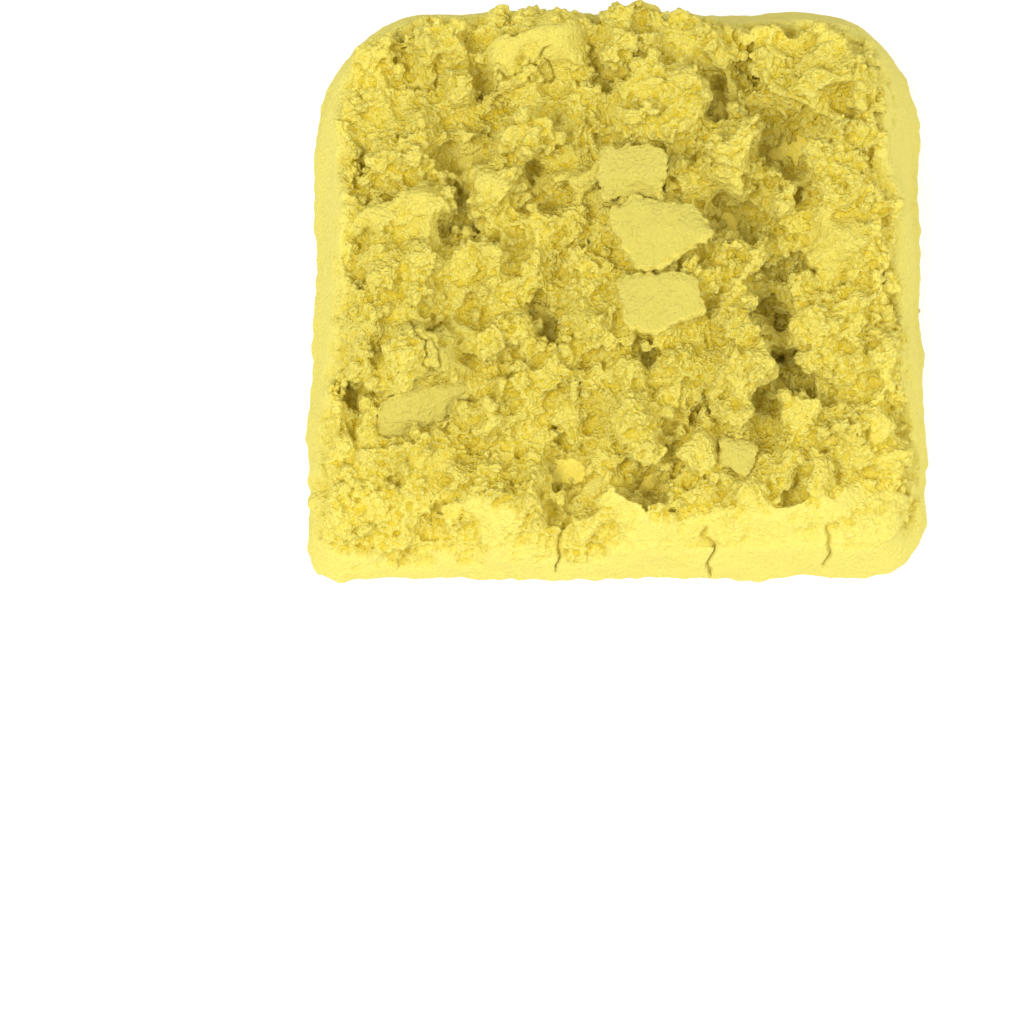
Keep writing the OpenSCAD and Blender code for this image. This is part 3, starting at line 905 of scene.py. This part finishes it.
# Flake sand, and the smooth faces of torn sand, are coloured darker than the pressed walls: painted
# shade on faces that look upwards.
MATERIALS = {
    "pressed_sand": sand("pressed sand", (0.79, 0.695, 0.16), (0.67, 0.55, 0.06), 0.8 * MM),
    "core_sand": sand("core sand", (0.80, 0.68, 0.12), (0.62, 0.46, 0.03), 0.3 * MM),
    "torn_sand": sand("torn sand", (0.75, 0.65, 0.13), (0.65, 0.50, 0.03), 1.0 * MM),
    "flake_sand": sand("flake sand", (0.64, 0.555, 0.115), (0.56, 0.45, 0.05), 0.9 * MM),
}

# ---------------------------------------------------------------- the pieces
SLOT_OF = {row["node"]: row["material_slot"] for row in frame["record"]["subparts"]}
BODIES = frame["record"]["behaviour"]["bodies"]
FLAKES = [name for body, members in BODIES.items() if body != "block" for name in members]
SKIN_NODES = [name for name in BODIES["block"] if name != CORE]


def make_pieces():
    pieces = split_skin(block_form(SKIN_NODES, FLAKES), SKIN_NODES)
    for name in FLAKES:
        pieces[name] = flake_piece(name)
    pieces[CORE] = core_piece()
    return pieces


def dress(pieces):
    """Gives every piece its material and its body, and hides the node that it stands for."""
    for body, members in BODIES.items():
        for name in members:
            piece = pieces[name]
            piece.data.materials.clear()
            piece.data.materials.append(MATERIALS[SLOT_OF[name]])
            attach(piece, body)
            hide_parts(name)


dress(make_pieces())

# ---------------------------------------------------------------- floor, light and camera
def floor():
    bpy.ops.mesh.primitive_plane_add(size=6)
    plane = bpy.context.object
    plane.name = "floor"
    material = bpy.data.materials.new("floor")
    material.use_nodes = True
    shader = material.node_tree.nodes["Principled BSDF"]
    shader.inputs["Base Color"].default_value = (0.52, 0.52, 0.52, 1)
    shader.inputs["Roughness"].default_value = 1.0
    shader.inputs["Emission Color"].default_value = (1, 1, 1, 1)
    shader.inputs["Emission Strength"].default_value = 0.55
    plane.data.materials.append(material)


def soft_light(name, azimuth, elevation, brightness, size=1.0, distance=1.5):
    """An area light aimed at the block. Brightness is what it adds to a white surface facing it."""
    data = bpy.data.lights.new(name, "AREA")
    data.size = size
    data.energy = brightness * (math.pi * distance) ** 2
    obj = bpy.data.objects.new(name, data)
    turn, rise = math.radians(azimuth), math.radians(elevation)
    away = Vector((math.sin(turn) * math.cos(rise), -math.cos(turn) * math.cos(rise), math.sin(rise)))
    obj.location = away * distance
    obj.rotation_euler = away.to_track_quat("Z", "Y").to_euler()
    bpy.context.scene.collection.objects.link(obj)


def world_light(strength):
    """Even light from all round. The backdrop itself shows as white."""
    world = bpy.data.worlds.new("studio")
    bpy.context.scene.world = world
    world.use_nodes = True
    tree = world.node_tree
    back = tree.nodes["Background"]
    back.inputs["Color"].default_value = (1, 1, 1, 1)
    seen = Value(tree, tree.nodes.new("ShaderNodeLightPath").outputs["Is Camera Ray"])
    feed(tree, seen * (1 - strength) + strength, back.inputs["Strength"])


FRAME_PX = 1024
FOCAL_PX = 3515
CENTRE_PX = (616.6, 270.9)
ELEVATION = math.radians(71.9)
AZIMUTH = math.radians(0.15)
DISTANCE = 712 * MM
AIM = Vector((0, 0, 15 * MM))


def camera():
    """Looks steeply down from the front, with the block in the frame's upper right."""
    data = bpy.data.cameras.new("camera")
    data.sensor_width = 36
    data.lens = data.sensor_width * FOCAL_PX / FRAME_PX
    data.clip_start = 0.01
    obj = bpy.data.objects.new("camera", data)
    bpy.context.scene.collection.objects.link(obj)
    back = Vector((math.sin(AZIMUTH) * math.cos(ELEVATION),
                   -math.cos(AZIMUTH) * math.cos(ELEVATION), math.sin(ELEVATION)))
    right = Vector((math.cos(AZIMUTH), math.sin(AZIMUTH), 0))
    up = back.cross(right)
    aside = (FRAME_PX / 2 - CENTRE_PX[0]) / FOCAL_PX
    down = (CENTRE_PX[1] - FRAME_PX / 2) / FOCAL_PX
    look = (-back + right * aside + up * down).normalized()
    right = (right - look * right.dot(look)).normalized()
    up = right.cross(look)
    turn = Matrix((right, up, -look)).transposed()
    obj.matrix_world = Matrix.Translation(AIM + back * DISTANCE) @ turn.to_4x4()
    bpy.context.scene.camera = obj


floor()
soft_light("key", -50, 55, 0.74, size=0.8)
soft_light("fill", 68, 42, 0.46)
world_light(0.63)
camera()
bpy.context.scene.view_settings.view_transform = "Standard"
